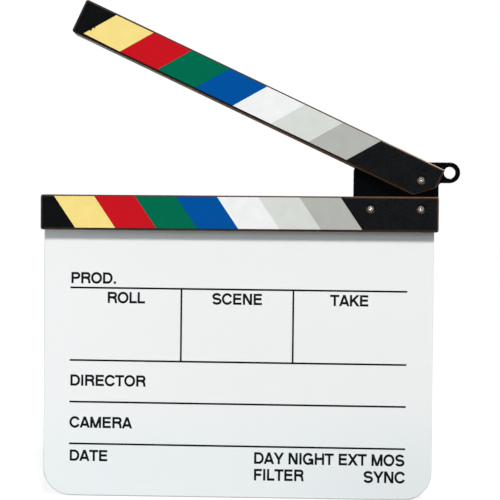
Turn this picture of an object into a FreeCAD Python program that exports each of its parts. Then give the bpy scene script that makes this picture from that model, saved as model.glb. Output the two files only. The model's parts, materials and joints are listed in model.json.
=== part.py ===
"""Film clapperboard: a white acrylic board under a striped fixed stick, with a striped clap arm above it.

Frame: +Z up, +X towards the hinge, the printed front faces -Y. The origin is the middle of the board's
lower edge, halfway through its thickness. Both sticks are sandwiches cut from sheet: a front and a back bar
of brown fibreboard with a black facing, bonded to a middle layer. The fixed stick's middle layer is the
board and the black hinge plate; the arm's is a spacer strip, which stops short of the plate so that the
plate slides between the arm's two bars. One screw through the arm and the plate is the pivot.
"""
import FreeCAD, Part
import math
import os
import Sketcher

Vector = FreeCAD.Vector

# Driving dimensions, in millimetres, with the angle in degrees
DIMENSIONS = {
    # Board
    "board_width": 293.8,
    "board_height": 227.0,
    "board_thickness": 3.0,
    "board_corner": 21.0,
    "board_ease": 1.0,
    # Fixed stick
    "bar_length": 297.8,
    "bar_height": 26.4,
    "bar_bottom": 201.6,
    "bar_centre": 0.4,
    # Sheet thicknesses, from the board outwards
    "adhesive_thickness": 0.25,
    "core_thickness": 5.7,
    "facing_thickness": 0.3,
    "film_thickness": 0.12,
    # Corners and sanded edge of both sticks, and how far the bonding sheets stay inside them
    "stick_corner": 1.8,
    "edge_ease": 1.0,
    "edge_depth": 0.7,
    "adhesive_inset": 3.0,
    # Pivot, measured from the fixed stick's end and top edge
    "pivot_inset": 13.1,
    "pivot_rise": 13.0,
    "open_angle": 25.2,
    # Clap arm, measured from the pivot along and across the arm
    "arm_reach": 283.5,
    "arm_tail": 12.7,
    "arm_drop": 12.7,
    "arm_rise": 13.7,
    "arm_cut": 13.0,
    "arm_cut_angle": 42.5,
    "spacer_start": 52.5,
    # Hinge plate and its eyelet, measured from the pivot, and how far the plate stands out past the stick
    "plate_reach": 50.0,
    "plate_rise": 13.2,
    "plate_overhang": 0.5,
    "plate_foot": 3.0,
    "plate_corner": 8.0,
    "plate_gap": 0.3,
    "plate_ease": 0.35,
    "eyelet_reach": 21.75,
    "eyelet_outer": 15.5,
    "eyelet_hole": 8.8,
    "eyelet_root": 2.3,
    # Coloured stripes
    "film_foot_margin": 1.6,
    "film_head_margin": 1.1,
    "first_film_trim": 0.55,
    "bar_stripe_start": 9.7,
    "bar_stripe_pitch": 30.75,
    "bar_stripe_lean": 16.0,
    "arm_stripe_start": 8.15,
    "arm_stripe_pitch": 31.25,
    "arm_stripe_lean": 16.9,
    # Clamp screws of the fixed stick, measured from the pivot and the stick's top edge
    "clamp_spacing": 37.4,
    "clamp_drop": 8.7,
    # Button-head screws, nuts and washers
    "shank_diameter": 3.0,
    "shank_length": 12.0,
    "head_diameter": 5.7,
    "head_height": 1.65,
    "head_dome": 1.2,
    "socket_width": 2.0,
    "socket_depth": 1.0,
    "socket_drill": 1.9,
    "socket_point": 0.5,
    "nut_width": 5.5,
    "nut_height": 2.4,
    "nut_bore": 3.06,
    "washer_diameter": 7.0,
    "washer_hole": 3.2,
    "washer_thickness": 0.5,
    "friction_washer_diameter": 10.0,
    "friction_washer_thickness": 0.2,
    # Holes
    "clearance_hole": 3.4,
    "pivot_hole": 3.1,
    "counterbore_diameter": 7.5,
    "head_hole": 6.0,
    "head_sink": 0.6,
    "head_sink_depth": 1.0,
    "head_depth": 3.2,
    "nut_depth": 3.4,
}
STRIPES = ["yellow", "red", "green", "blue", "white", "light_grey", "mid_grey"]

# Places worked out from the driving dimensions
BAR_LEFT = "(Sizes.bar_centre - Sizes.bar_length / 2)"
BAR_RIGHT = "(Sizes.bar_centre + Sizes.bar_length / 2)"
BAR_TOP = "(Sizes.bar_bottom + Sizes.bar_height)"
PIVOT_X = f"({BAR_RIGHT} - Sizes.pivot_inset)"
PIVOT_Z = f"({BAR_TOP} + Sizes.pivot_rise)"
CLAMP_Z = f"({BAR_TOP} - Sizes.clamp_drop)"
PLATE_LEFT = f"({PIVOT_X} - Sizes.plate_reach)"
PLATE_RIGHT = f"({BAR_RIGHT} + Sizes.plate_overhang)"
PLATE_TOP = f"({PIVOT_Z} + Sizes.plate_rise)"
PLATE_BOTTOM = "(Sizes.bar_bottom + Sizes.plate_foot)"
EYELET_X = f"({PIVOT_X} + Sizes.eyelet_reach)"
EYELET_Z = f"({PLATE_TOP} - Sizes.eyelet_outer / 2)"
CLAMPS = [(PIVOT_X, CLAMP_Z), (f"({PIVOT_X} - Sizes.clamp_spacing)", CLAMP_Z)]
PIVOT = [("0", "0")]

# Layers, as distances of their outer faces from the middle of the board
MIDDLE = "(Sizes.board_thickness / 2)"
ADHESIVE = f"({MIDDLE} + Sizes.adhesive_thickness)"
CORE = f"({ADHESIVE} + Sizes.core_thickness)"
FACING = f"({CORE} + Sizes.facing_thickness)"
FILM = f"({FACING} + Sizes.film_thickness)"

# Where a piece's own drawing plane stands: on the slate, or on the arm, turned about the pivot
SLATE = {"x": "0", "z": "0"}
ARM = {"x": PIVOT_X, "z": PIVOT_Z, "turn": "Sizes.open_angle * 1 deg"}
FRONT, BACK = "-", "+"
ROUGH_RADIUS = 50.0
NEAR = 1e-4

doc = FreeCAD.newDocument("Clapperboard")
sheet = doc.addObject("Spreadsheet::Sheet", "Sizes")
for row, (alias, value) in enumerate(DIMENSIONS.items(), start=1):
    sheet.set(f"A{row}", alias.replace("_", " "))
    sheet.set(f"B{row}", str(value))
    sheet.setAlias(f"B{row}", alias)
doc.recompute()

nodes = []


# Drawing and placing

def new_sketch(body, name, role="XZ_Plane"):
    sketch = body.newObject("Sketcher::SketchObject", f"{body.Name}_{name}")
    plane = next(item for item in body.Origin.OriginFeatures if item.Role == role)
    sketch.AttachmentSupport = [(plane, "")]
    sketch.MapMode = "FlatFace"
    return sketch


def bind(sketch, constraint, expression):
    index = sketch.addConstraint(constraint)
    sketch.setExpression(f"Constraints[{index}]", expression)


def hold_point(sketch, line, end, across, up):
    start = sketch.getPoint(line, end)
    bind(sketch, Sketcher.Constraint("DistanceX", -1, 1, line, end, start.x), across)
    bind(sketch, Sketcher.Constraint("DistanceY", -1, 1, line, end, start.y), up)


def draw_polygon(sketch, corners):
    """Draws a closed outline on a rough circle, then holds each corner where its expressions put it."""
    count = len(corners)
    angles = [2 * math.pi * i / count for i in range(count)]
    rough = [Vector(math.cos(a), math.sin(a), 0) * ROUGH_RADIUS for a in angles]
    for i in range(count):
        sketch.addGeometry(Part.LineSegment(rough[i], rough[(i + 1) % count]))
    for i in range(count):
        sketch.addConstraint(Sketcher.Constraint("Coincident", i, 2, (i + 1) % count, 1))
    for i, (across, up) in enumerate(corners):
        hold_point(sketch, i, 1, across, up)


def draw_circle(sketch, across, up, diameter):
    rough = Part.Circle(Vector(1, 1, 0), Vector(0, 0, 1), 1)
    circle = sketch.addGeometry(rough)
    hold_point(sketch, circle, 3, across, up)
    bind(sketch, Sketcher.Constraint("Diameter", circle, 2 * rough.Radius), diameter)


def place(item, where, level):
    if "turn" in where:
        item.Placement = FreeCAD.Placement(Vector(), FreeCAD.Rotation(Vector(0, 1, 0), 1))
        item.setExpression("Placement.Rotation.Angle", where["turn"])
    item.setExpression("Placement.Base.x", where["x"])
    item.setExpression("Placement.Base.y", level)
    item.setExpression("Placement.Base.z", where["z"])


def new_body(label):
    body = doc.addObject("PartDesign::Body", label)
    body.Label = label
    return body


def pad(body, sketch, length, away):
    """Pads a sketch towards +Y when away is true, and towards -Y, the viewer, when it isn't."""
    feature = body.newObject("PartDesign::Pad", f"{sketch.Name}_pad")
    feature.Profile = sketch
    feature.Reversed = away
    feature.setExpression("Length", length)
    doc.recompute()
    return feature


def pocket(body, sketch, length, away):
    before = body.Shape.Volume
    feature = body.newObject("PartDesign::Pocket", f"{sketch.Name}_pocket")
    feature.Profile = sketch
    feature.Reversed = not away
    feature.setExpression("Length", length)
    doc.recompute()
    if body.Shape.Volume > before - NEAR:
        raise RuntimeError(f"{feature.Name} cut nothing")
    return feature


def turn_off(body, name, corners):
    """Cuts a ring or a cone off round the Y axis, as a lathe does. Corners are distances out and along Y."""
    before = body.Shape.Volume
    sketch = new_sketch(body, name, "XY_Plane")
    draw_polygon(sketch, corners)
    groove = body.newObject("PartDesign::Groove", f"{sketch.Name}_groove")
    groove.Profile = sketch
    groove.ReferenceAxis = (sketch, ["V_Axis"])
    doc.recompute()
    if body.Shape.Volume > before - NEAR:
        raise RuntimeError(f"{groove.Name} cut nothing")


def cut_sheet(label, corners, circles, level, thickness, side, where):
    """Cuts one flat piece. Its drawing plane is its outer face, and it is padded from there inwards."""
    body = new_body(label)
    sketch = new_sketch(body, "outline")
    if corners:
        draw_polygon(sketch, corners)
    for across, up, diameter in circles:
        draw_circle(sketch, across, up, diameter)
    pad(body, sketch, thickness, side == FRONT)
    place(body, where, f"{side}{level}")
    return body


# Shaping edges

def dress(body, kind, edges, sizes):
    base = body.Tip
    feature = body.newObject(f"PartDesign::{kind}", f"{body.Name}_{kind}_{len(body.Group)}")
    feature.Base = (base, edges)
    if len(sizes) == 2:
        feature.ChamferType = "Two distances"
    for name, expression in sizes.items():
        feature.setExpression(name, expression)
    doc.recompute()
    if feature.Shape.isNull() or not feature.Shape.isValid():
        raise RuntimeError(f"{feature.Name} failed")


def corner_edges(body, corners):
    """Names the edges that run through the sheet at the given corners of its outline."""
    sketch = body.Group[0]
    points = [sketch.getPoint(corner, 1) for corner in corners]
    names = []
    for i, edge in enumerate(body.Tip.Shape.Edges, start=1):
        ends = [v.Point for v in edge.Vertexes]
        for point in points:
            if all(abs(end.x - point.x) + abs(end.z - point.y) < NEAR for end in ends):
                names.append(f"Edge{i}")
    return names


def face_edges(body, depth):
    """Names the outer edges of the flat face that lies at the given depth behind the drawing plane."""
    shape = body.Tip.Shape
    wires = []
    for face in shape.Faces:
        box = face.BoundBox
        if box.YLength < NEAR and abs(box.YMin - depth) < NEAR:
            wires += face.OuterWire.Edges
    pairs = enumerate(shape.Edges, start=1)
    return [f"Edge{i}" for i, edge in pairs if any(edge.isSame(other) for other in wires)]


def hole_edges(body, diameter, depths):
    """Names the rim edges of the round holes of one diameter, at given depths behind the drawing plane."""
    names = []
    for i, edge in enumerate(body.Tip.Shape.Edges, start=1):
        if isinstance(edge.Curve, Part.Circle) and abs(2 * edge.Curve.Radius - diameter) < NEAR:
            if any(abs(edge.Curve.Center.y - depth) < NEAR for depth in depths):
                names.append(f"Edge{i}")
    return names


# Outlines shared by the layers of each stick

def bar_outline(inset="0"):
    left = f"{BAR_LEFT} + {inset}"
    right = f"{BAR_RIGHT} - {inset}"
    bottom = f"Sizes.bar_bottom + {inset}"
    top = f"{BAR_TOP} - {inset}"
    return [(left, bottom), (right, bottom), (right, top), (left, top)]


def arm_outline(inset="0"):
    """The arm's outline with its tail corner cut off, drawn closed, with the pivot at the origin."""
    left = f"-Sizes.arm_reach + {inset}"
    right = f"Sizes.arm_tail - {inset}"
    bottom = f"-Sizes.arm_drop + {inset}"
    top = f"Sizes.arm_rise - {inset}"
    low_mitre = f"{inset} * tan(Sizes.arm_cut_angle / 2)"
    high_mitre = f"{inset} * tan(45 - Sizes.arm_cut_angle / 2)"
    cut_rise = "Sizes.arm_cut * tan(Sizes.arm_cut_angle)"
    cut_low = (f"Sizes.arm_tail - Sizes.arm_cut - {low_mitre}", bottom)
    cut_high = (right, f"{cut_rise} - Sizes.arm_drop + {high_mitre}")
    return [(left, bottom), cut_low, cut_high, (right, top), (left, top)]


def spacer_outline(inset="0"):
    left = f"-Sizes.arm_reach + {inset}"
    right = f"-Sizes.spacer_start - {inset}"
    bottom = f"-Sizes.arm_drop + {inset}"
    top = f"Sizes.arm_rise - {inset}"
    return [(left, bottom), (right, bottom), (right, top), (left, top)]


def stripe_outline(start, end, lean, bottom, top):
    """One leaning stripe: start and end are its places at the foot, and lean moves its head."""
    return [(start, bottom), (end, bottom), (f"{end} + {lean}", top), (f"{start} + {lean}", top)]


def hexagon(width):
    reach = f"{width} / sqrt(3)"
    half = f"{width} / 2"
    turns = [(reach, "0"), (f"{reach} / 2", half), (f"-{reach} / 2", half)]
    return turns + [(f"-{reach}", "0"), (f"-{reach} / 2", f"-{half}"), (f"{reach} / 2", f"-{half}")]


# Board

def make_board():
    half = "Sizes.board_width / 2"
    notch_left = f"{PLATE_LEFT} - Sizes.plate_gap"
    notch_bottom = f"{PLATE_BOTTOM} - Sizes.plate_gap"
    top = "Sizes.board_height"
    lower = [(f"-{half}", "0"), (half, "0"), (half, notch_bottom)]
    upper = [(notch_left, notch_bottom), (notch_left, top), (f"-{half}", top)]
    thickness = "Sizes.board_thickness"
    board = cut_sheet("board", lower + upper, [], MIDDLE, thickness, FRONT, SLATE)
    dress(board, "Fillet", corner_edges(board, [0, 1]), {"Radius": "Sizes.board_corner"})
    both_faces = face_edges(board, 0) + face_edges(board, DIMENSIONS["board_thickness"])
    dress(board, "Fillet", both_faces, {"Radius": "Sizes.board_ease"})
    nodes.append(board)


# Hinge plate with its lanyard eyelet

def make_hinge_plate():
    lug_bottom = f"{PLATE_TOP} - Sizes.eyelet_outer"
    lower = [(PLATE_LEFT, PLATE_BOTTOM), (PLATE_RIGHT, PLATE_BOTTOM), (PLATE_RIGHT, lug_bottom)]
    upper = [(EYELET_X, lug_bottom), (EYELET_X, PLATE_TOP), (PLATE_LEFT, PLATE_TOP)]
    thickness = "Sizes.board_thickness"
    plate = cut_sheet("hinge_plate", lower + upper, [], MIDDLE, thickness, FRONT, SLATE)
    ring = new_sketch(plate, "ring")
    draw_circle(ring, EYELET_X, EYELET_Z, "Sizes.eyelet_outer")
    pad(plate, ring, thickness, True)
    dress(plate, "Fillet", corner_edges(plate, [5]), {"Radius": "Sizes.plate_corner"})
    dress(plate, "Fillet", corner_edges(plate, [2]), {"Radius": "Sizes.eyelet_root"})
    eyelet = new_sketch(plate, "eyelet")
    draw_circle(eyelet, EYELET_X, EYELET_Z, "Sizes.eyelet_hole")
    pocket(plate, eyelet, thickness, True)
    both_faces = [0, DIMENSIONS["board_thickness"]]
    rims = hole_edges(plate, DIMENSIONS["eyelet_hole"], both_faces)
    rims += [name for depth in both_faces for name in face_edges(plate, depth)]
    dress(plate, "Fillet", rims, {"Radius": "Sizes.plate_ease"})
    screws = new_sketch(plate, "screw_holes")
    for across, up in CLAMPS:
        draw_circle(screws, across, up, "Sizes.clearance_hole")
    draw_circle(screws, PIVOT_X, PIVOT_Z, "Sizes.pivot_hole")
    pocket(plate, screws, thickness, True)
    nodes.append(plate)


# Stick layers: fibreboard core with sanded edge, black facing, bonding sheet

def make_bar(label, outline, holes, side, where, corners):
    circles = [(across, up, "Sizes.clearance_hole") for across, up in holes]
    bar = cut_sheet(label, outline(), circles, CORE, "Sizes.core_thickness", side, where)
    dress(bar, "Fillet", corner_edges(bar, corners), {"Radius": "Sizes.stick_corner"})
    eased = {"Size": "Sizes.edge_depth", "Size2": "Sizes.edge_ease"}
    dress(bar, "Chamfer", face_edges(bar, 0), eased)
    recess = new_sketch(bar, "recess")
    name = "head_hole" if side == FRONT else "counterbore_diameter"
    for across, up in holes:
        draw_circle(recess, across, up, f"Sizes.{name}")
    depth = "Sizes.head_depth" if side == FRONT else "Sizes.nut_depth"
    pocket(bar, recess, f"{depth} - Sizes.facing_thickness", side == FRONT)
    if side == FRONT:
        sunk = {"Size": "Sizes.head_sink", "Size2": "Sizes.head_sink_depth"}
        dress(bar, "Chamfer", hole_edges(bar, DIMENSIONS["head_hole"], [0]), sunk)
    nodes.append(bar)


def make_facing(label, outline, holes, side, where, corners):
    width = "Sizes.head_hole + 2 * Sizes.head_sink" if side == FRONT else "Sizes.counterbore_diameter"
    circles = [(across, up, width) for across, up in holes]
    inside = outline("Sizes.edge_ease")
    facing = cut_sheet(label, inside, circles, FACING, "Sizes.facing_thickness", side, where)
    radius = "Sizes.stick_corner - Sizes.edge_ease"
    dress(facing, "Fillet", corner_edges(facing, corners), {"Radius": radius})
    nodes.append(facing)


def make_adhesive(label, outline, holes, side, where):
    circles = [(across, up, "Sizes.counterbore_diameter") for across, up in holes]
    inside = outline("Sizes.adhesive_inset")
    nodes.append(cut_sheet(label, inside, circles, ADHESIVE, "Sizes.adhesive_thickness", side, where))


def make_fixed_stick():
    corners = [0, 1, 2, 3]
    for side, name in ((FRONT, "front"), (BACK, "back")):
        make_bar(f"lower_{name}_bar", bar_outline, CLAMPS, side, SLATE, corners)
        make_facing(f"lower_{name}_facing", bar_outline, CLAMPS, side, SLATE, corners)
        make_adhesive(f"lower_{name}_adhesive", bar_outline, CLAMPS, side, SLATE)


def make_arm():
    free_end = [0, 4]
    for side, name in ((FRONT, "front"), (BACK, "back")):
        make_bar(f"arm_{name}_bar", arm_outline, PIVOT, side, ARM, free_end)
        make_facing(f"arm_{name}_facing", arm_outline, PIVOT, side, ARM, free_end)
        make_adhesive(f"arm_{name}_adhesive", spacer_outline, [], side, ARM)
    thickness = "Sizes.board_thickness"
    spacer = cut_sheet("arm_spacer", spacer_outline(), [], MIDDLE, thickness, FRONT, ARM)
    dress(spacer, "Fillet", corner_edges(spacer, [0, 3]), {"Radius": "Sizes.stick_corner"})
    nodes.append(spacer)


# Coloured films: the fixed stick's lean one way and the arm's the other, so they meet as chevrons

def make_stripes():
    bar_low = "Sizes.bar_bottom + Sizes.film_foot_margin"
    bar_high = f"{BAR_TOP} - Sizes.film_head_margin"
    arm_low = "Sizes.film_foot_margin - Sizes.arm_drop"
    arm_high = "Sizes.arm_rise - Sizes.film_head_margin"
    bar_first = f"{BAR_LEFT} + Sizes.bar_stripe_start + Sizes.bar_stripe_lean"
    arm_first = "Sizes.arm_stripe_start - Sizes.arm_reach"
    film = "Sizes.film_thickness"
    for i, colour in enumerate(STRIPES):
        trim = "Sizes.first_film_trim" if i == 0 else "0"
        bar_start = f"{bar_first} + {i} * Sizes.bar_stripe_pitch"
        bar_end = f"{bar_start} + Sizes.bar_stripe_pitch"
        on_bar = stripe_outline(f"{bar_start} + {trim}", bar_end, "-Sizes.bar_stripe_lean", bar_low, bar_high)
        arm_start = f"{arm_first} + {i} * Sizes.arm_stripe_pitch"
        arm_end = f"{arm_start} + Sizes.arm_stripe_pitch"
        on_arm = stripe_outline(f"{arm_start} + {trim}", arm_end, "Sizes.arm_stripe_lean", arm_low, arm_high)
        nodes.append(cut_sheet(f"lower_stripe_{colour}", on_bar, [], FILM, film, FRONT, SLATE))
        nodes.append(cut_sheet(f"arm_stripe_{colour}", on_arm, [], FILM, film, FRONT, ARM))


# Fasteners

def make_screw(label, where):
    """A button-head screw whose drawing plane is the seat under its head."""
    screw = new_body(label)
    head = new_sketch(screw, "head")
    draw_circle(head, "0", "0", "Sizes.head_diameter")
    pad(screw, head, "Sizes.head_height", False)
    dress(screw, "Fillet", face_edges(screw, -DIMENSIONS["head_height"]), {"Radius": "Sizes.head_dome"})
    shank = new_sketch(screw, "shank")
    draw_circle(shank, "0", "0", "Sizes.shank_diameter")
    pad(screw, shank, "Sizes.shank_length", True)
    socket = new_sketch(screw, "socket")
    draw_polygon(socket, hexagon("Sizes.socket_width"))
    socket.setExpression("AttachmentOffset.Base.z", "Sizes.head_height")
    pocket(screw, socket, "Sizes.socket_depth", True)
    floor = "(Sizes.socket_depth - Sizes.head_height)"
    tip = f"{floor} + Sizes.socket_point"
    turn_off(screw, "point", [("0", floor), ("Sizes.socket_drill / 2", floor), ("0", tip)])
    place(screw, where, f"Sizes.head_depth - {FACING}")
    return screw


def make_washer(label, where):
    circles = [("0", "0", "Sizes.washer_diameter"), ("0", "0", "Sizes.washer_hole")]
    level = f"({FACING} - Sizes.nut_depth + Sizes.washer_thickness)"
    return cut_sheet(label, [], circles, level, "Sizes.washer_thickness", BACK, where)


def make_nut(label, where):
    level = f"({FACING} - Sizes.nut_depth + Sizes.washer_thickness + Sizes.nut_height)"
    bore = [("0", "0", "Sizes.nut_bore")]
    nut = cut_sheet(label, hexagon("Sizes.nut_width"), bore, level, "Sizes.nut_height", BACK, where)
    flat = "Sizes.nut_width / 2"
    past = "Sizes.nut_width"
    turn_off(nut, "crown", [(flat, "0"), (past, "0"), (past, f"-({past} - {flat}) * tan(30)")])
    return nut


def make_friction_washer(label, side):
    circles = [("0", "0", "Sizes.friction_washer_diameter"), ("0", "0", "Sizes.washer_hole")]
    return cut_sheet(label, [], circles, ADHESIVE, "Sizes.friction_washer_thickness", side, ARM)


def make_group(label, members):
    group = doc.addObject("Part::Compound", label)
    group.Label = label
    group.Links = members
    nodes.append(group)


def make_fasteners():
    clamps = [{"x": across, "z": up} for across, up in CLAMPS]
    for name, make in (("screw", make_screw), ("washer", make_washer), ("nut", make_nut)):
        pair = [make(f"clamp_{name}_{i}", where) for i, where in enumerate(clamps, start=1)]
        make_group(f"clamp_{name}s", pair)
        nodes.append(make(f"pivot_{name}", ARM))
    sides = ((FRONT, "front"), (BACK, "back"))
    pair = [make_friction_washer(f"friction_washer_{name}", side) for side, name in sides]
    make_group("pivot_friction_washers", pair)


make_board()
make_hinge_plate()
make_fixed_stick()
make_arm()
make_stripes()
make_fasteners()
doc.recompute()

# Nothing is written unless every object is sound
faults = [item.Label for item in doc.Objects if {"Invalid", "Error"} & set(item.State)]
faults += [node.Label for node in nodes if node.Shape.isNull() or not node.Shape.isValid()]
if faults:
    raise RuntimeError(f"unsound objects: {faults}")
os.makedirs("parts", exist_ok=True)
for node in nodes:
    node.Shape.exportStep(f"parts/{node.Label}.step")
    box = node.Shape.optimalBoundingBox()
    print(f"{node.Label}: {len(node.Shape.Solids)} solid(s), {node.Shape.Volume:.1f} mm3, "
          f"x {box.XMin:.1f} to {box.XMax:.1f}, y {box.YMin:.2f} to {box.YMax:.2f}, "
          f"z {box.ZMin:.1f} to {box.ZMax:.1f}")
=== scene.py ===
# %% [markdown]
# # A clapperboard in its finishes
#
# The solids of this clapperboard come in ready made, at their real size: a white board, two striped sticks
# of black-faced fibreboard, a hinge plate and its screws. What is left for Blender is how it looks. Each
# finish is written as a small shader, the print on the board is drawn and set letter by letter, and a plain
# white studio with one camera shows the result.
#
# The board stands upright with its face towards -Y. X runs along the sticks to the hinge, and Z is up. All
# lengths in the scene are metres, so sizes that a maker would give in millimetres are multiplied by MM.

# %% Load the solids
import json
import math

import bpy
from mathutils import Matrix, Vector

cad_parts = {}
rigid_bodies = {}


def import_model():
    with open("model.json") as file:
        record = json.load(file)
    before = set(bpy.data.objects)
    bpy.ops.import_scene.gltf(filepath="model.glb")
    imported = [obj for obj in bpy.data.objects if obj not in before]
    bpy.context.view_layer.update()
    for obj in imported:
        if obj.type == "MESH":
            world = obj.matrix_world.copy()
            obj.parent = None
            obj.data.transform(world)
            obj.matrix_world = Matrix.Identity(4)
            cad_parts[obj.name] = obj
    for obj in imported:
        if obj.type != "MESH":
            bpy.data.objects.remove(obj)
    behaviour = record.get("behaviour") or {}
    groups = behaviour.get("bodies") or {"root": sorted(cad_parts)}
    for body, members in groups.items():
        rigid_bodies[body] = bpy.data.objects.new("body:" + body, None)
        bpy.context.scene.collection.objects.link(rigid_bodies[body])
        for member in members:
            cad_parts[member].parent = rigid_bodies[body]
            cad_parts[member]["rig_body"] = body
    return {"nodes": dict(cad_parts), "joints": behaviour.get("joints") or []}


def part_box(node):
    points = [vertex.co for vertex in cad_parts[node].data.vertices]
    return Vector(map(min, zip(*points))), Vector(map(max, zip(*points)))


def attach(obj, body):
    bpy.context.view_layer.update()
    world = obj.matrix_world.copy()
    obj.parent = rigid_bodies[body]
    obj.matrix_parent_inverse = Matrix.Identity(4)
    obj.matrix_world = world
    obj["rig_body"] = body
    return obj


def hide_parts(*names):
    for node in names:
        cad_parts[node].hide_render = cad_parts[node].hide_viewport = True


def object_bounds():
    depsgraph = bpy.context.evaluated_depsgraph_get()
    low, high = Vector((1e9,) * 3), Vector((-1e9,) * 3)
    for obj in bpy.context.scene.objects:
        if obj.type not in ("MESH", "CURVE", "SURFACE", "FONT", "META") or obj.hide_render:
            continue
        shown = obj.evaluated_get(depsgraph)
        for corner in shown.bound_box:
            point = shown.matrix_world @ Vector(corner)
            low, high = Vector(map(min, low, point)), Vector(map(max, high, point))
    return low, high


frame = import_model()
cad_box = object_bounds()
nodes = frame["nodes"]
bpy.context.scene.view_settings.view_transform = "Standard"
MM = 0.001
print(len(nodes), "solids, box", [tuple(round(value, 4) for value in corner) for corner in cad_box])

# %% [markdown]
# ## Shader maths as Python
#
# A shader is a graph of nodes, and graphs are hard to read as code. The class below wraps one output socket
# of a node. Adding, subtracting or multiplying two of them adds a Math node, so a mask can be written the
# way it is said: `1 - wear * grain`. Every other node comes from its one method, `node`, which takes the
# node's type, its settings and what goes into its sockets.

# %% One socket that Python can do maths with
class Shade:
    """An output socket in a node tree, with Python's own operators."""

    def __init__(self, tree, socket=None):
        self.tree = tree
        self.socket = socket

    def node(self, kind, settings=None, sockets=None, output=0):
        """Adds a node: first its settings, then the values or links of its sockets."""
        made = self.tree.nodes.new("ShaderNode" + kind)
        for name, value in (settings or {}).items():
            setattr(made, name, value)
        for name, value in (sockets or {}).items():
            if isinstance(value, Shade):
                self.tree.links.new(value.socket, made.inputs[name])
            else:
                made.inputs[name].default_value = value
        return Shade(self.tree, made.outputs[output] if made.outputs else None)

    def _math(self, operation, first, second):
        return self.node("Math", {"operation": operation}, {0: first, 1: second})

    def __add__(self, other):
        return self._math("ADD", self, other)

    __radd__ = __add__

    def __sub__(self, other):
        return self._math("SUBTRACT", self, other)

    def __rsub__(self, other):
        return self._math("SUBTRACT", other, self)

    def __mul__(self, other):
        return self._math("MULTIPLY", self, other)

    __rmul__ = __mul__


# %% [markdown]
# Six small helpers say the rest. `screen` turns a colour as it looks on a screen into the linear numbers
# that a shader works in. `coordinate` takes one coordinate out of a vector, `towards` tells how far a
# vector goes in a direction, and `cloud` is a soft noise whose grains have a size in millimetres along each
# axis. `fade` is a smooth step from 0 to 1 between two values, and `mix` goes by such a mask from one
# colour to another.

# %% Colours, noise and masks
def screen(red, green, blue):
    """A colour given in screen values from 0 to 255, as linear red, green, blue and alpha."""
    def linear(value):
        share = value / 255
        return share / 12.92 if share <= 0.04045 else ((share + 0.055) / 1.055) ** 2.4
    return (linear(red), linear(green), linear(blue), 1.0)


def coordinate(vector, axis):
    """One coordinate of a vector, by the letter of its axis."""
    return vector.node("SeparateXYZ", None, {"Vector": vector}, output=axis)


def towards(vector, direction):
    """How far a vector goes in a direction."""
    product = {"operation": "DOT_PRODUCT"}
    return vector.node("VectorMath", product, {0: vector, 1: direction}, output="Value")


def cloud(point, size, detail=2.0, turn=0.0):
    """Noise from 0 to 1 with grains of a size in millimetres, or of three sizes along X, Y and Z."""
    sizes = size if isinstance(size, tuple) else (size, size, size)
    scales = tuple(1 / (length * MM) for length in sizes)
    turned = point.node("Mapping", {"vector_type": "POINT"}, {"Vector": point, "Rotation": (0, turn, 0)})
    scaled = point.node("VectorMath", {"operation": "MULTIPLY"}, {0: turned, 1: scales})
    return point.node("TexNoise", None, {"Vector": scaled, "Scale": 1.0, "Detail": detail, "Roughness": 0.6})


def fade(value, start, end):
    """A mask that goes smoothly from 0 at start to 1 at end."""
    limits = {"Value": value, "From Min": start, "From Max": end, "To Min": 0.0, "To Max": 1.0}
    return value.node("MapRange", {"interpolation_type": "SMOOTHSTEP"}, limits)


def mix(mask, first, second):
    """A colour that goes from first to second as the mask goes from 0 to 1."""
    # The colour sockets go by number, because this node repeats their names for each type of data
    return mask.node("Mix", {"data_type": "RGBA"}, {0: mask, 6: first, 7: second}, output=2)


# %% [markdown]
# A finish begins with an empty node tree and the point on the piece that is being shaded, and ends in one
# Principled shader. Object coordinates are used throughout, so a pattern stays on its piece when the arm
# swings.

# %% Start and end of a finish
def new_finish(name):
    """An empty material and the point on the piece, in metres, as its Object coordinates."""
    material = bpy.data.materials.new(name)
    material.use_nodes = True
    material.node_tree.nodes.clear()
    point = Shade(material.node_tree).node("TexCoord", output="Object")
    return material, point


def face_on(point):
    """A mask that is 1 on faces that look along Y, the flats of a sheet, and 0 on its cut edges."""
    normal = point.node("TexCoord", output="Normal")
    across = coordinate(normal, "Y")
    return fade(across * across, 0.35, 0.75)


def finish_off(material, point, sockets, height=None, depth=0.05):
    """Puts a Principled shader on the material, with a bump of a depth in millimetres if it has a height."""
    if height is not None:
        bump = {"Height": height, "Strength": 1.0, "Distance": depth * MM}
        sockets = {**sockets, "Normal": point.node("Bump", None, bump)}
    shader = point.node("BsdfPrincipled", None, sockets)
    point.node("OutputMaterial", None, {"Surface": shader})
    print("finish:", material.name, len(material.node_tree.nodes), "nodes")
    return material


# %% [markdown]
# ## The finishes
#
# ### White acrylic
#
# The board is opal white acrylic sheet with a satin face that takes a dry marker. It is never one even
# white: a wiping cloth leaves long faint strokes in the gloss, a few hair scratches run across it, and the
# sawn edge is a little cooler and glossier than the face. Painted shade makes the white a little darker and
# cooler along the foot, and more so in the lower corner at the hinge side, and a grey band of painted shade
# lies close under the stick. A flat white would do for a thumbnail, but these strokes are what the eye reads
# as plastic when the light moves over it.

# %% White acrylic
FOOT_SHADE_ENDS = (25 * MM, 80 * MM)
CORNER_SHADE_ALONG = (-10 * MM, 140 * MM)
CORNER_SHADE_UP = (-10 * MM, 90 * MM)
STICK_SHADE_REACH = 4 * MM
STICK_SHADE_ALONG = (-170 * MM, -30 * MM)


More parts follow.
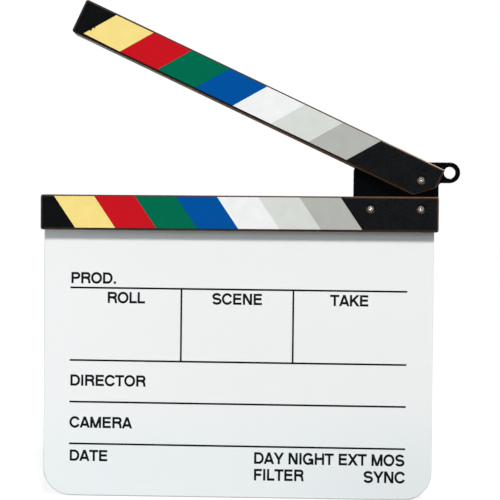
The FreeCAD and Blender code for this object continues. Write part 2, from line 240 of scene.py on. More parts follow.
def white_acrylic():
    material, point = new_finish("white_acrylic")
    face = face_on(point)
    tone = cloud(point, 60)
    wiped = cloud(point, (90, 90, 7), detail=3)
    hairs = fade(cloud(point, (40, 40, 0.35), detail=1, turn=0.35), 0.70, 0.76)
    along = coordinate(point, "X")
    up = coordinate(point, "Z")
    # Painted shade: darker and cooler towards the foot, and more so in the lower corner at the hinge side
    foot_shade = 1 - fade(up, *FOOT_SHADE_ENDS)
    corner_shade = fade(along, *CORNER_SHADE_ALONG) * (1 - fade(up, *CORNER_SHADE_UP))
    body = mix(tone, screen(240, 241, 240), screen(242, 242, 242))
    body = mix(corner_shade, mix(foot_shade, body, screen(236, 241, 241)), screen(229, 233, 234))
    # Painted shade: a grey band on the board just under the stick, where the stick shuts out the light
    under_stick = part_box("lower_front_bar")[0].z
    stick_shade = fade(up, under_stick - STICK_SHADE_REACH, under_stick) * fade(along, *STICK_SHADE_ALONG)
    body = mix(stick_shade, body, screen(199, 200, 200))
    colour = mix(face, screen(224, 231, 234), body)
    gloss = 0.26 + 0.14 * wiped * face - 0.10 * hairs
    sockets = {"Base Color": colour, "Roughness": gloss, "IOR": 1.49, "Specular IOR Level": 0.4}
    return finish_off(material, point, sockets, height=cloud(point, 0.9) - 0.6 * hairs, depth=0.004)


# %% [markdown]
# ### Black laminate
#
# The sticks are faced with a thin black laminate that has a fine pressed grain, like very fine leather. Two
# sizes of noise make it: one for the grain that the fingers feel, and one nearly a centimetre wide that
# makes the black slightly uneven. It has gone a little grey towards the hinge, where it is handled. Its cut
# edge is rubbed and lets a little of the brown core through, and so does a narrow border along the sides
# that hands touch. The border needs to know how far the facing reaches on each side, and the solid's own
# points tell that.

# %% Black laminate
WORN_BORDER = 0.85 * MM
GREYS_ALONG = (-150 * MM, 100 * MM)


def off_border(point, facing, sides):
    """A mask that is 1 on a facing and falls to 0 along the sides that look in the given directions."""
    mask = 1
    for angle in sides:
        outward = Vector((math.cos(angle), 0, math.sin(angle)))
        reach = max(outward.dot(corner.co) for corner in nodes[facing].data.vertices)
        mask = mask * (1 - fade(towards(point, outward), reach - WORN_BORDER, reach))
    return mask


def black_laminate(name, facing, sides):
    material, point = new_finish(name)
    grain = cloud(point, 1.1, detail=4)
    uneven = cloud(point, 9, detail=3)
    patches = cloud(point, 3, detail=3)
    rubbed = fade(patches, 0.45, 0.62) * (1 - face_on(point))
    worn = (1 - off_border(point, facing, sides)) * fade(patches, 0.2, 0.55)
    along = coordinate(point, "X")
    spots = fade(grain * 0.8 + uneven * 0.2, 0.36, 0.64)
    deep = mix(spots, screen(6, 8, 10), screen(17, 18, 20))
    greyed = mix(spots, screen(8, 9, 11), screen(27, 28, 30))
    black = mix(fade(along, *GREYS_ALONG), deep, greyed)
    colour = mix(rubbed, mix(worn, black, screen(66, 56, 49)), screen(52, 40, 33))
    sockets = {"Base Color": colour, "Roughness": 0.34 + 0.2 * grain, "Specular IOR Level": 0.05}
    return finish_off(material, point, sockets, height=grain, depth=0.03)


# %% [markdown]
# ### Fibreboard
#
# Under the facing the sticks are brown fibreboard, and it shows along every edge, where the facing was
# sanded through. Three things make that edge: a thin dark skin of resin next to the facing, the sanded
# slope, and the sawn edge behind it with short fibres along its length. The slope is darker over most of
# the length and paler only near the hinge, and the sawn edge is greyer at the free end. Slopes that look
# down get tones of their own, which are painted light and shade, and the steeper walls of the screw holes
# are painted shade, nearly black, apart from a painted lit crescent at the lower left, on the side that
# faces the key lamp. The direction of the surface tells these parts from each other. One function makes the
# fibreboard of every piece from pairs of tones, a dark and a light one for the free end and for the hinge
# end, and turns its fibres along the stick.

# %% Fibreboard
RESIN = (7.12 * MM, 7.36 * MM)
SHADED_HOLE_WALL = ((20, 16, 13), (36, 28, 23))
LIT_HOLE_WALL = ((88, 62, 46), (128, 95, 72))
LIT_SIDE = (0.42, 0, 0.91)
SLOPE_PALES_ALONG = (60 * MM, 140 * MM)
EDGE_BROWNS = (-130 * MM, 20 * MM)
DRIFT = 60 * MM
# How far a surface looks outwards, upwards or to its lit side where one part gives way to the next
EDGE_ENDS = (0.1, 0.3)
WALL_ENDS = (0.525, 0.56)
LOWER_ENDS = (-0.25, 0.05)
LIT_SIDE_ENDS = (0.1, 0.5)


def fibreboard(name, turn, slope_tones, lower_tones, edge_tones):
    material, point = new_finish(name)
    along = coordinate(point, "X")
    depth = point.node("Math", {"operation": "ABSOLUTE"}, {0: coordinate(point, "Y")})
    normal = point.node("TexCoord", output="Normal")
    upward = coordinate(normal, "Z")
    flatness = point.node("Math", {"operation": "ABSOLUTE"}, {0: coordinate(normal, "Y")})
    stretches = cloud(point, (26, 8, 8), detail=3, turn=turn)
    fibres = cloud(point, (1.6, 0.25, 0.25), detail=3, turn=turn)
    tone = fade(stretches * 0.55 + fibres * 0.45, 0.34, 0.66)
    drift = along + DRIFT * (stretches - 0.5)

    def toned(pairs, place):
        free_end, hinge_end = [mix(tone, screen(*dark), screen(*light)) for dark, light in pairs]
        return mix(fade(drift, *place), free_end, hinge_end)

    upper = toned(slope_tones, SLOPE_PALES_ALONG)
    in_hole = 1 - fade(flatness, *WALL_ENDS)
    # Painted light and shade in the screw holes: a lit crescent where the wall faces the key lamp, shade
    # elsewhere
    toward_lamp = fade(towards(normal, LIT_SIDE), *LIT_SIDE_ENDS)
    hole_shade, hole_light = [mix(tone, screen(*dark), screen(*light)) for dark, light in (SHADED_HOLE_WALL, LIT_HOLE_WALL)]
    hole_light_and_shade = mix(toward_lamp, hole_shade, hole_light)
    # Slopes that look down take their own tones, painted light and shade for the underside of the edge
    slope = mix(fade(upward, *LOWER_ENDS), toned(lower_tones, EDGE_BROWNS), upper)
    sanded = mix(fade(depth, *RESIN), mix(in_hole, slope, hole_light_and_shade), screen(58, 40, 30))
    colour = mix(fade(flatness, *EDGE_ENDS), toned(edge_tones, EDGE_BROWNS), sanded)
    sockets = {"Base Color": colour, "Roughness": 0.72 + 0.2 * fibres, "Specular IOR Level": 0.05}
    return finish_off(material, point, sockets, height=fibres, depth=0.12)


# %% [markdown]
# ### Coloured films
#
# The stripes are pieces of thin self-coloured film, laid on the black facing. Film has a soft orange peel,
# and its colour is even to about two parts in a hundred. One function makes all seven, because only the
# colour differs.

# %% Coloured films
FILM_COLOURS = {
    "film_yellow": (246, 222, 135),
    "film_red": (199, 20, 32),
    "film_green": (0, 106, 76),
    "film_blue": (0, 80, 156),
    "film_white": (239, 240, 239),
    "film_light_grey": (214, 217, 211),
    "film_mid_grey": (179, 180, 174),
}
FILM_SPREAD = 0.015


def colour_film(name, colour):
    material, point = new_finish(name)
    peel = cloud(point, 0.7, detail=3)
    even = cloud(point, 9, detail=3) * 0.6 + peel * 0.4
    low = screen(*((1 - FILM_SPREAD) * part for part in colour))
    high = screen(*(min(255, (1 + FILM_SPREAD) * part) for part in colour))
    sockets = {"Base Color": mix(fade(even, 0.3, 0.7), low, high), "Roughness": 0.14 + 0.08 * peel,
               "Specular IOR Level": 0.12}
    return finish_off(material, point, sockets, height=peel, depth=0.008)


# %% [markdown]
# ### Gloss black acrylic
#
# The hinge plate is black acrylic, polished. Nearly all of its look is reflection, so the colour is almost
# nothing and the shader keeps the gloss of acrylic. Fine hair scratches from the swinging arm break the
# reflection up, so that it does not look like a mirror.

# %% Gloss black acrylic
def black_acrylic():
    material, point = new_finish("black_acrylic")
    hairs = fade(cloud(point, (18, 18, 0.3), detail=1, turn=-0.5), 0.66, 0.74)
    smear = cloud(point, 14, detail=3)
    colour = mix(smear, screen(3, 5, 7), screen(6, 9, 12))
    sockets = {"Base Color": colour, "Roughness": 0.08 + 0.12 * smear + 0.15 * hairs, "IOR": 1.49,
               "Specular IOR Level": 0.2}
    return finish_off(material, point, sockets, height=smear - hairs, depth=0.003)


# %% [markdown]
# ### Metal, nylon, bonding sheet and ink
#
# The screws, nuts and washers are zinc plated steel: a grey that is very slightly green and dulled by
# tumbling in the plating barrel, under a clear bright skin that gives the sharp highlights. The friction
# washers are raw nylon, and the bonding sheets show only as a thin pale line between two layers. The print
# is a matt black screen ink that lies on the board like paint.

# %% Metal, nylon, bonding sheet and ink
def zinc_steel():
    material, point = new_finish("zinc_steel")
    tumbled = cloud(point, 0.35, detail=3)
    dull = cloud(point, 1.6, detail=3)
    colour = mix(dull, screen(148, 152, 149), screen(170, 174, 171))
    sockets = {"Base Color": colour, "Metallic": 1.0, "Roughness": 0.55 + 0.12 * tumbled,
               "Coat Weight": 1.0, "Coat IOR": 4.0, "Coat Roughness": 0.16}
    return finish_off(material, point, sockets, height=tumbled, depth=0.012)


def nylon():
    material, point = new_finish("nylon")
    worn = cloud(point, 1.2, detail=3)
    sockets = {"Base Color": mix(worn, screen(214, 210, 198), screen(232, 229, 220)),
               "Roughness": 0.4 + 0.2 * worn}
    return finish_off(material, point, sockets, height=worn, depth=0.02)


def bonding_sheet():
    material, point = new_finish("adhesive_sheet")
    squeezed = cloud(point, 2.5, detail=3)
    sockets = {"Base Color": mix(squeezed, screen(150, 134, 108), screen(196, 182, 152)),
               "Roughness": 0.35 + 0.25 * squeezed}
    return finish_off(material, point, sockets, height=squeezed, depth=0.05)


def screen_ink():
    material, point = new_finish("black_ink")
    mesh_marks = cloud(point, 0.25, detail=2)
    thin = cloud(point, 4, detail=3)
    sockets = {"Base Color": mix(thin, screen(5, 6, 8), screen(14, 15, 17)),
               "Roughness": 0.4 + 0.2 * mesh_marks, "Specular IOR Level": 0.1}
    return finish_off(material, point, sockets, height=mesh_marks, depth=0.006)


# %% [markdown]
# ## Dressing the solids
#
# Each solid already carries the name of its finish in its material slot, so dressing is a look-up. The
# fibreboard comes in three versions: one for the level stick, a paler one turned along the arm, and a
# darker one for the spacer inside the arm, which is painted shade for the shadowed gap between the layers
# and shows as a dark line along the arm's underside. The laminate comes in two, because its worn border
# follows the sides of its own stick. The arm is level when it is closed, so the lower end of its hinge's
# range tells how far it is turned here.

# %% Dress the solids
DARK_SLOPE = ((46, 35, 28), (78, 60, 49))
MID_SLOPE = ((60, 46, 36), (98, 77, 61))
BROWN_SLOPE = ((92, 64, 47), (134, 99, 75))
PALE_SLOPE = ((140, 112, 90), (198, 172, 146))
GREY_EDGE = ((150, 140, 131), (205, 195, 186))
BROWN_EDGE = ((80, 57, 43), (122, 92, 72))
ARM_EDGE = ((96, 69, 53), (146, 112, 89))
# Painted light and shade for slopes and edges that look down; SHADED_EDGE also colours the spacer
SHADED_EDGE = ((60, 45, 36), (94, 74, 61))
LOWER_SLOPE = ((82, 58, 44), (118, 88, 69))

joint = frame["joints"][0]
arm_turn = math.radians(abs(joint["range_deg"][0]))
ALL_SIDES = [math.radians(angle) for angle in (0, 90, 180, 270)]
finishes = {
    "white_acrylic": white_acrylic(),
    "black_laminate": black_laminate("black_laminate", "lower_front_facing", ALL_SIDES),
    "black_acrylic": black_acrylic(),
    "zinc_steel": zinc_steel(),
    "nylon": nylon(),
    "adhesive_sheet": bonding_sheet(),
    "fibreboard": fibreboard("fibreboard", 0.0, (MID_SLOPE, BROWN_SLOPE), (LOWER_SLOPE, LOWER_SLOPE),
                             (BROWN_EDGE, BROWN_EDGE)),
    "black_ink": screen_ink(),
}
finishes.update({name: colour_film(name, colour) for name, colour in FILM_COLOURS.items()})
arm_sides = [side - arm_turn for side in ALL_SIDES[:3]]
arm_laminate = black_laminate("arm_laminate", "arm_front_facing", arm_sides)
arm_fibreboard = fibreboard("arm_fibreboard", -arm_turn, (DARK_SLOPE, PALE_SLOPE),
                            (SHADED_EDGE, LOWER_SLOPE), (GREY_EDGE, ARM_EDGE))
# The spacer is coloured in painted shade, for the shadow in the gap between the arm's layers
all_shaded = (SHADED_EDGE, SHADED_EDGE)
spacer_fibreboard = fibreboard("spacer_fibreboard", -arm_turn, all_shaded, all_shaded, all_shaded)

for name, solid in nodes.items():
    slot_name = solid.material_slots[0].material.name.split(".")[0]
    finish = finishes[slot_name]
    if solid["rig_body"] == "arm" and slot_name == "fibreboard":
        finish = spacer_fibreboard if name == "arm_spacer" else arm_fibreboard
    if solid["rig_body"] == "arm" and slot_name == "black_laminate":
        finish = arm_laminate
    solid.material_slots[0].material = finish
print("dressed", len(nodes), "solids")

# %% [markdown]
# ## A nicked film
#
# The films were cut by hand. The yellow one on the arm is a hair short at its head and at its foot, and its
# slanting edge has two nicks where the blade slipped. A copy of the solid's mesh is merged, because it
# comes as loose triangles. Two bisects trim the head and the foot, and two small five-sided cutters bite
# the nicks out with a boolean. The copy then stands for the solid. Nudging single points would also do, but
# a cutter leaves clean walls by itself.

# %% A nicked film
FOOT_CUT = [Vector((-89.39, 0, 334.89)) * MM, Vector((-116.94, 0, 348.46)) * MM]
HEAD_CUT = [Vector((-91.9, 0, 361.94)) * MM, Vector((-64.14, 0, 348.87)) * MM]
# Place along X, place up Z and radius of each nick, in millimetres
NICKS = [(-111.2, 351.15, 0.95), (-108.3, 352.7, 0.65)]
NICK_SIDES = 5
NICK_DEPTH = 2 * MM
TOUCHING = 1e-6


def pick(piece):
    """Makes a piece the only one that operators act on."""
    bpy.ops.object.select_all(action="DESELECT")
    piece.select_set(True)
    bpy.context.view_layer.objects.active = piece


def drop(piece):
    """Deletes a helper piece."""
    bpy.data.objects.remove(piece)


def bite(piece, x, z, radius):
    """Cuts a small five-sided notch through a flat piece."""
    place = (x * MM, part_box("arm_stripe_yellow")[0].y, z * MM)
    bpy.ops.object.select_all(action="DESELECT")
    bpy.ops.mesh.primitive_cylinder_add(vertices=NICK_SIDES, radius=radius * MM, depth=NICK_DEPTH,
                                        location=place, rotation=(math.radians(90), 0, 0))
    cutter = bpy.context.object
    pick(piece)
    notch = piece.modifiers.new("notch", "BOOLEAN")
    notch.solver = "EXACT"
    notch.object = cutter
    bpy.ops.object.modifier_apply(modifier=notch.name)
    drop(cutter)


cut_film = nodes["arm_stripe_yellow"].copy()
cut_film.data = cut_film.data.copy()
cut_film.name = "nicked_film"
bpy.context.scene.collection.objects.link(cut_film)
pick(cut_film)
bpy.ops.object.mode_set(mode="EDIT")
bpy.ops.mesh.select_all(action="SELECT")
bpy.ops.mesh.remove_doubles(threshold=TOUCHING)
for start, end in (FOOT_CUT, HEAD_CUT):
    cut = (end - start).normalized()
    bpy.ops.mesh.select_all(action="SELECT")
    bpy.ops.mesh.bisect(plane_co=start, plane_no=(-cut.z, 0, cut.x), use_fill=True, clear_outer=True,
                        threshold=TOUCHING)
bpy.ops.object.mode_set(mode="OBJECT")
for x, z, radius in NICKS:
    bite(cut_film, x, z, radius)
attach(cut_film, "arm")
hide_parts("arm_stripe_yellow")
print("nicked film:", len(cut_film.data.polygons), "faces")

# %% [markdown]
# ## The print
#
# The board is printed with rules and with the plain words that every slate carries. Blender's own text
# object would be quick, but its built-in letters are narrow where these are wide, and the scene loads no
# font file. So the letters are drawn as a sign writer draws them: a few strokes of one flat pen. Each
# stroke is a curve, and the pen is a small rectangle that sweeps along it.
#
# Letters are drawn on a grid where a capital is 1 high. Stems run a little past the top and the foot, and a
# boolean with a slab of exactly that height trims them and melts the strokes of a letter into one solid.
# Round letters stand over by a hair at the top and the foot, or they would look too small beside the
# others, so the slab is that much taller for them.

# %% The pen and its strokes
PEN = 0.21
INK_IN_LETTERS = 0.005
TOP = 1 - 0.45 * PEN
FOOT = 0.45 * PEN
ABOVE = 1.06
BELOW = -0.06
OVERSHOOT = 0.022
ROUND = 0.5 - PEN / 2 + OVERSHOOT
ROUND_LETTERS = "CGOS"
SMALL = ROUND / 2
ARC_STEP = 7.5


def stem(x):
    """An upright stroke, long enough to be trimmed at the top and the foot."""
    return [(x, BELOW), (x, ABOVE)]


def bar(y, start, end):
    """A level stroke."""
    return [(start, y), (end, y)]


def bow(centre, across, up, start, end):
    """A round stroke on an ellipse, from one angle to another in degrees."""
    steps = math.ceil(abs(end - start) / ARC_STEP)
    angles = [math.radians(start + (end - start) * step / steps) for step in range(steps + 1)]
    return [(centre[0] + across * math.cos(angle), centre[1] + up * math.sin(angle)) for angle in angles]


def hook(x, middle, turn_x, across, up):
    """The closed round part of D, P and R: out along a bar, round a bow, and back to the stem."""
    return [(x, middle + up), *bow((turn_x, middle), across, up, 90, -90), (x, middle - up)]


# %% [markdown]
# The alphabet holds only the letters that the words need. Each has its width, with the white on both sides,
# and its strokes. The shapes are those of a plain sign painter's grotesque: round O and C, level bars,
# square ends.

# %% The alphabet
ALPHABET = {
    "A": (0.93, [(0.064, BELOW), (0.486, ABOVE)], [(0.866, BELOW), (0.444, ABOVE)], bar(0.27, 0.2, 0.73)),
    "C": (1.0, bow((0.52, 0.5), 0.41, ROUND, 27, 333)),
    "D": (1.0, stem(0.17), hook(0.17, 0.5, 0.49, 0.385, TOP - 0.5)),
    "E": (0.93, stem(0.178), bar(TOP, 0.178, 0.85), bar(0.52, 0.178, 0.81), bar(FOOT, 0.178, 0.86)),
    "F": (0.85, stem(0.178), bar(TOP, 0.178, 0.81), bar(0.49, 0.178, 0.74)),
    "G": (1.08, bow((0.53, 0.5), 0.415, ROUND, 38, 337), bar(0.43, 0.56, 0.98),
          [(0.92, 0.43), (0.92, 0)]),
    "H": (1.0, stem(0.165), stem(0.84), bar(0.52, 0.165, 0.84)),
    "I": (0.39, stem(0.19)),
    "K": (0.93, stem(0.165), [(0.90, 1.07), (0.15, 0.33)], [(0.38, 0.60), (0.905, -0.07)]),
    "L": (0.77, stem(0.165), bar(FOOT, 0.165, 0.77)),
    "M": (1.16, stem(0.16), stem(0.985), [(0.15, ABOVE), (0.59, BELOW)], [(0.995, ABOVE), (0.555, BELOW)]),
    "N": (1.0, stem(0.165), stem(0.82), [(0.15, ABOVE), (0.835, BELOW)]),
    "O": (1.075, bow((0.525, 0.5), 0.415, ROUND, 0, 360)),
    "P": (0.93, stem(0.178), hook(0.178, 0.695, 0.56, 0.25, TOP - 0.695)),
    "R": (1.0, stem(0.18), hook(0.18, 0.71, 0.61, 0.235, TOP - 0.71),
          [(0.55, 0.477), *bow((0.58, 0.285), 0.24, 0.192, 90, 0), (0.84, 0.12), (0.88, BELOW)]),
    "S": (0.93, bow((0.46, 0.5 + SMALL), 0.315, SMALL, 15, 270)
          + bow((0.466, 0.5 - SMALL), 0.34, SMALL, 90, -165)[1:]),
    "T": (0.85, bar(TOP, -0.015, 0.845), [(0.425, BELOW), (0.425, TOP)]),
    "X": (0.93, [(0.05, ABOVE), (0.88, BELOW)], [(0.05, BELOW), (0.88, ABOVE)]),
    "Y": (0.93, [(0.05, ABOVE), (0.465, 0.40)], [(0.88, ABOVE), (0.465, 0.40)],
          [(0.465, BELOW), (0.465, 0.46)]),
    ".": (0.39, [(0.19, BELOW), (0.19, PEN)]),
}
SPACE = 0.39
print(len(ALPHABET), "letters in the alphabet")

# %% [markdown]
# The pen is a plane whose face is deleted and whose outline becomes a curve. The slab is a cube as high as
# a capital. Both are thrown away when the letters are done.

# %% Draw each letter once
SLAB_WIDTH = 3
STROKE_WELD = 1e-5
SLIVER = 1e-4

bpy.ops.object.select_all(action="DESELECT")
bpy.ops.mesh.primitive_plane_add(size=1)
pen = bpy.context.object
pen.scale = (PEN, 2 * INK_IN_LETTERS, 1)
bpy.ops.object.transform_apply(location=False, rotation=False, scale=True)
bpy.ops.object.mode_set(mode="EDIT")
bpy.ops.mesh.select_all(action="SELECT")
bpy.ops.mesh.delete(type="ONLY_FACE")
bpy.ops.object.mode_set(mode="OBJECT")
bpy.ops.object.convert(target="CURVE")

bpy.ops.object.select_all(action="DESELECT")
bpy.ops.mesh.primitive_cube_add(size=1, location=(0.5, 0.5, 0))
slab = bpy.context.object
slab.scale.x = SLAB_WIDTH


def draw_letter(letter):
    """One letter as a thin closed solid, lying in the XY plane."""
    slab.scale.y = 1 + 2 * OVERSHOOT if letter in ROUND_LETTERS else 1
    bpy.ops.object.select_all(action="DESELECT")
    bpy.ops.object.add(type="CURVE")
    drawn = bpy.context.object
    drawn.name = "letter_" + letter
    drawn.data.dimensions = "3D"
    drawn.data.twist_mode = "Z_UP"
    drawn.data.bevel_mode = "OBJECT"
    drawn.data.bevel_object = pen
    drawn.data.use_fill_caps = True
    for points in ALPHABET[letter][1:]:
        closed = math.dist(points[0], points[-1]) < STROKE_WELD
        stroke = drawn.data.splines.new("POLY")
        stroke.use_cyclic_u = closed
        kept = points[:-1] if closed else points
        stroke.points.add(len(kept) - 1)
        for place, (x, y) in zip(stroke.points, kept):
            place.co = (x, y, 0, 1)
    bpy.ops.object.convert(target="MESH")
    bpy.ops.object.mode_set(mode="EDIT")
    bpy.ops.mesh.select_all(action="SELECT")
    bpy.ops.mesh.remove_doubles(threshold=STROKE_WELD)
    bpy.ops.mesh.normals_make_consistent(inside=False)
    bpy.ops.object.mode_set(mode="OBJECT")
    trim = drawn.modifiers.new("trim", "BOOLEAN")
    trim.operation = "INTERSECT"
    trim.solver = "EXACT"
    trim.use_self = True
    trim.object = slab
    bpy.ops.object.modifier_apply(modifier=trim.name)
    bpy.ops.object.mode_set(mode="EDIT")
    bpy.ops.mesh.select_all(action="SELECT")
    bpy.ops.mesh.quads_convert_to_tris()
    bpy.ops.mesh.dissolve_degenerate(threshold=SLIVER)
    bpy.ops.object.mode_set(mode="OBJECT")
    return drawn


letters = {letter: draw_letter(letter) for letter in ALPHABET}
drop(pen)
drop(slab)
print("drew", len(letters), "letters,", sum(len(drawn.data.polygons) for drawn in letters.values()), "faces")

# %% [markdown]
# Words are set from copies of the letters, like metal type. A word is joined into one piece, scaled to its
# capital height and a slightly narrower width, stood up against the face of the board and laid down there
# by applying its place. The small words at the lower right are set a touch taller than the others. The
# whole print was laid on the real board a little out of true, so everything is turned by a fifth of a
# degree.

# %% Where the print lies
BOARD_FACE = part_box("board")[0].y
INK = 0.04 * MM
CAPITAL = 8.5 * MM
LETTER_WIDTH = 8.0 * MM
TALL_CAPITAL = 8.8 * MM
PRINT_TILT = math.radians(0.21)
PRINT_CENTRE = Vector((0.15 * MM, 0, 102.5 * MM))
PRINT_HALF = 127.0 * MM


def lay_print(piece):
    """Turns a flat piece with the print, fixes its place in its mesh, inks it and puts it on the slate."""
    pick(piece)
    bpy.ops.object.transform_apply(location=True, rotation=True, scale=True)
    bpy.ops.transform.rotate(value=-PRINT_TILT, orient_axis="Y", center_override=PRINT_CENTRE)
    bpy.ops.object.transform_apply(location=True, rotation=True, scale=True)
    piece.data.materials.clear()
    piece.data.materials.append(finishes["black_ink"])
    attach(piece, "slate")
    return piece


def word_width(text):
    """The width of a word in letter widths, with the white at both ends."""
    return sum(SPACE if letter == " " else ALPHABET[letter][0] for letter in text)


def set_word(text, left, foot, height=CAPITAL, width=LETTER_WIDTH):
    """Sets a word with its left end and its foot at a place on the board."""
    copies = []
    across = 0.0
    for letter in text:
        if letter != " ":
            copy = letters[letter].copy()
            copy.data = letters[letter].data.copy()
            copy.location.x = across
            bpy.context.scene.collection.objects.link(copy)
            copies.append(copy)
        across += word_width(letter)
    pick(copies[0])
    for copy in copies:
        copy.select_set(True)
    if len(copies) > 1:
        bpy.ops.object.join()
    word = bpy.context.object
    word.name = "word_" + text.lower().replace(" ", "_").rstrip(".")
    bpy.ops.object.transform_apply(location=True, rotation=True, scale=True)
    word.scale = (width, height, INK / (2 * INK_IN_LETTERS))
    word.rotation_euler.x = math.radians(90)
    word.location = (left, BOARD_FACE - INK / 2, foot)
    return lay_print(word)


# %% [markdown]
# The rules divide the board into rows, and two short dividers split the second row into three columns. The
# column words stand in the middle of their column, the row words start at the left, and two more lines of
# words stand at the lower right.

# %% Set the words
RULE_HEIGHTS = [157.5 * MM, 102.5 * MM, 70.9 * MM, 39.1 * MM]
DIVIDERS = [-42.7 * MM, 41.7 * MM]
COLUMN_EDGES = [-126.65 * MM, *DIVIDERS, 126.25 * MM]
LEFT = PRINT_CENTRE.x - PRINT_HALF
RIGHT = PRINT_CENTRE.x + PRINT_HALF
ROWS = [("PROD.", 160.7 * MM), ("DIRECTOR", 83.05 * MM), ("CAMERA", 51.2 * MM), ("DATE", 25.95 * MM)]
COLUMNS = ["ROLL", "SCENE", "TAKE"]
COLUMN_WORD_FOOT = 146.05 * MM
RIGHT_GROUP = 13.05 * MM
DAY_FOOT = 26.1 * MM
FILTER_FOOT = 13.5 * MM
SYNC_FOOT = 13.25 * MM
SYNC_WIDTH = 8.18 * MM
SYNC_END = RIGHT + 0.25 * MM

words = [set_word(text, LEFT, foot) for text, foot in ROWS]
for text, start, end in zip(COLUMNS, COLUMN_EDGES, COLUMN_EDGES[1:]):
    middle = (start + end) / 2
    words.append(set_word(text, middle - word_width(text) * LETTER_WIDTH / 2, COLUMN_WORD_FOOT))
words.append(set_word("DAY NIGHT EXT MOS", RIGHT_GROUP, DAY_FOOT, TALL_CAPITAL))
words.append(set_word("FILTER", RIGHT_GROUP, FILTER_FOOT, TALL_CAPITAL))
sync_left = SYNC_END - word_width("SYNC") * SYNC_WIDTH
words.append(set_word("SYNC", sync_left, SYNC_FOOT, TALL_CAPITAL, SYNC_WIDTH))
for drawn in letters.values():
    drop(drawn)
print("set", len(words), "words")

# %% [markdown]
# A rule is a plane, drawn out to the thickness of the ink, with its four corners eased by a hair as wet ink
# does by itself. The six lines are one piece, because they are printed in one pull.

# %% Draw the rules
RULE_WIDTH = 1.36 * MM
RULE_LEFT = -127.0 * MM
RULE_RIGHT = 127.1 * MM
RULE_EASE = 0.15 * RULE_WIDTH


def draw_rule(centre, length, upright):
    """One printed line as a thin solid on the face of the board."""
    bpy.ops.object.select_all(action="DESELECT")
    bpy.ops.mesh.primitive_plane_add(size=1, rotation=(math.radians(90), 0, 0))
    rule = bpy.context.object
    rule.location = (centre[0], BOARD_FACE, centre[1])
    rule.scale = (RULE_WIDTH, length, 1) if upright else (length, RULE_WIDTH, 1)
    bpy.ops.object.transform_apply(location=True, rotation=True, scale=True)
    bpy.ops.object.mode_set(mode="EDIT")
    bpy.ops.mesh.select_all(action="SELECT")
    bpy.ops.mesh.bevel(offset=RULE_EASE, segments=2, affect="VERTICES")
    bpy.ops.mesh.extrude_region_move(TRANSFORM_OT_translate={"value": (0, -INK, 0)})
    bpy.ops.mesh.select_all(action="SELECT")
    bpy.ops.mesh.normals_make_consistent(inside=False)
    bpy.ops.object.mode_set(mode="OBJECT")
    return rule


rule_middle = (RULE_LEFT + RULE_RIGHT) / 2
lines = [draw_rule((rule_middle, height), RULE_RIGHT - RULE_LEFT, False) for height in RULE_HEIGHTS]
column_top, column_foot = RULE_HEIGHTS[:2]
for x in DIVIDERS:
    lines.append(draw_rule((x, (column_top + column_foot) / 2), column_top - column_foot, True))
pick(lines[0])
for line in lines:
    line.select_set(True)
bpy.ops.object.join()
rules = bpy.context.object
rules.name = "printed_rules"
lay_print(rules)
print("rules:", len(rules.data.polygons), "faces")

# %% [markdown]
# ## The studio
#
# The photograph that this follows is a catalogue picture: pure white all round, a soft lamp high in front
# that throws the short shadow under the fixed stick, and pale light from everywhere else. A far lamp with a
# wide disc is a Sun with an angle, so the floor is lit evenly as far as it goes. A second lamp hangs closer
# at the right, so that the board gets slowly darker towards its foot, and a weak third one at the left
# lightens the shadow towards that end. A large lamp behind lights the back of the board, which the camera
# does not see. The lamps are a touch warm, and the room and the weak lamp are a touch cool, which shows in
# the shadow alone.
#
# The floor is white to the camera but gives back little light, so that it does not light the board from
# below, and it is mostly white by itself, so that the shadow on it stays pale. In reflections the studio is
# bright at the sides and overhead, and dark in front and behind, where black flags stand. That keeps the
# blacks black.

# %% Floor
FLOOR_SIZE = 16.0
FLOOR_GAP = 0.3 * MM
FLOOR_GLOW = (0.78, 0.78, 0.78, 1)
FLOOR_PAINT = (0.26, 0.26, 0.26, 1)
FLOOR_BOUNCE = (0.28, 0.29, 0.29, 1)
NO_GLOW = (0, 0, 0, 1)
MIRRORED_SHARE = 0.3

bpy.ops.object.select_all(action="DESELECT")
bpy.ops.mesh.primitive_plane_add(size=FLOOR_SIZE, location=(0, 0, cad_box[0].z - FLOOR_GAP))
floor = bpy.context.object
floor.name = "floor"
floor_paint, floor_point = new_finish("floor_paint")
rays = floor_point.node("LightPath")
mirrored = Shade(rays.tree, rays.socket.node.outputs["Is Glossy Ray"])
seen = rays + MIRRORED_SHARE * mirrored
floor_sockets = {"Base Color": mix(seen, FLOOR_BOUNCE, FLOOR_PAINT), "Roughness": 0.9,
                 "Specular IOR Level": 0.0, "Emission Strength": 1.0,
                 "Emission Color": mix(seen, NO_GLOW, FLOOR_GLOW)}
finish_off(floor_paint, floor_point, floor_sockets)
floor.data.materials.append(floor_paint)
print("floor", FLOOR_SIZE, "m")

# %% World
ROOM_STRENGTH = 0.29
ROOM_COLOUR = (0.88, 1.01, 1.05, 1)
SIDE_GLOW = 0.9
FLAG_GLOW = 0.05
FLAG_BORDER = (0.2, 0.7)
PURE_WHITE = (1, 1, 1, 1)

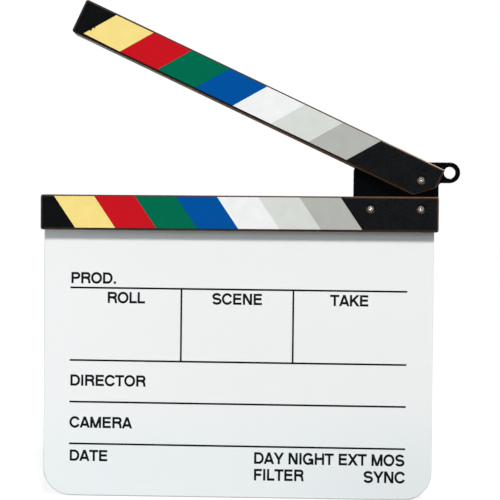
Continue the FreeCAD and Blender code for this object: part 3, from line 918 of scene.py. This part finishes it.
world = bpy.data.worlds.new("studio")
world.use_nodes = True
world.node_tree.nodes.clear()
bpy.context.scene.world = world
rays = Shade(world.node_tree).node("LightPath")
outputs = rays.socket.node.outputs
seen = rays + Shade(world.node_tree, outputs["Is Transmission Ray"])
mirrored = Shade(world.node_tree, outputs["Is Glossy Ray"])
direction = rays.node("TexCoord", output="Generated")
forward = coordinate(direction, "Y")
flagged = fade(forward * forward, *FLAG_BORDER)
glow = SIDE_GLOW + (FLAG_GLOW - SIDE_GLOW) * flagged
room = ROOM_STRENGTH + (glow - ROOM_STRENGTH) * mirrored
colour = mix(seen, ROOM_COLOUR, PURE_WHITE)
background = rays.node("Background", None, {"Color": colour, "Strength": seen + (1 - seen) * room})
rays.node("OutputWorld", None, {"Surface": background})
print("room light", ROOM_STRENGTH)

# %% Lamps
KEY_HEIGHT = math.radians(51.5)
KEY_SIDE = math.radians(18)
KEY_DISC = math.radians(8)
KEY_STRENGTH = 2.72
LAMP_COLOUR = (0.985, 0.957, 0.954)
COOL_COLOUR = (0.93, 1.0, 1.02)
LIT_POINT = Vector((0, 0, 150 * MM))
NEAR_LAMP = {"place": Vector((0.4, -0.65, 1.0)), "power": 3.4, "size": 0.25}
FILL_LAMP = {"place": Vector((-0.42, -0.3, 0.12)), "power": 0.27, "size": 0.25, "colour": COOL_COLOUR}
BACK_LAMP = {"place": Vector((-0.35, 0.9, 0.45)), "power": 6.0, "size": 0.6}


def shine_from(lamp, direction, colour=LAMP_COLOUR):
    """Turns a lamp so that it shines from a direction, and gives it its colour."""
    lamp.rotation_euler = direction.to_track_quat("Z", "Y").to_euler()
    lamp.data.color = colour


def hang_lamp(name, place, power, size, colour=LAMP_COLOUR):
    """A square lamp at a place in the studio, turned to the middle of the board."""
    bpy.ops.object.light_add(type="AREA", location=place)
    lamp = bpy.context.object
    lamp.name = name
    lamp.data.energy = power
    lamp.data.size = size
    shine_from(lamp, place - LIT_POINT, colour)
    return lamp


bpy.ops.object.light_add(type="SUN")
key_lamp = bpy.context.object
key_lamp.name = "key_lamp"
key_lamp.data.energy = KEY_STRENGTH
key_lamp.data.angle = KEY_DISC
level = math.cos(KEY_HEIGHT)
key_direction = Vector((level * math.sin(KEY_SIDE), -level * math.cos(KEY_SIDE), math.sin(KEY_HEIGHT)))
shine_from(key_lamp, key_direction)
hung = {"near_lamp": NEAR_LAMP, "fill_lamp": FILL_LAMP, "back_lamp": BACK_LAMP}
lamps = [key_lamp, *(hang_lamp(name, **values) for name, values in hung.items())]
print("lamps:", [lamp.name for lamp in lamps])

# %% [markdown]
# ## The camera
#
# The camera stands a little to the hinge side and a little above the middle of the board, held very
# slightly out of level. Its distance follows from how much of the arm's underside shows, and its lens from
# how large the board is in the picture.

# %% The camera
CAMERA_YAW = math.radians(1.576)
CAMERA_PITCH = math.radians(0.874)
CAMERA_ROLL = math.radians(0.468)
CAMERA_DISTANCE = 760 * MM
CAMERA_AIM = Vector((9.1, -7.75, 187.5)) * MM
CAMERA_LENS = 73.3
CAMERA_SENSOR = 36

back = Vector((math.sin(CAMERA_YAW) * math.cos(CAMERA_PITCH),
               -math.cos(CAMERA_YAW) * math.cos(CAMERA_PITCH),
               math.sin(CAMERA_PITCH)))
bpy.ops.object.camera_add(location=CAMERA_AIM + back * CAMERA_DISTANCE)
camera = bpy.context.object
camera.data.lens = CAMERA_LENS
camera.data.sensor_width = CAMERA_SENSOR
camera.rotation_euler = (-back).to_track_quat("-Z", "Y").to_euler()
camera.rotation_euler.rotate_axis("Z", CAMERA_ROLL)
bpy.context.scene.camera = camera
print("camera at", tuple(round(value, 4) for value in camera.location))
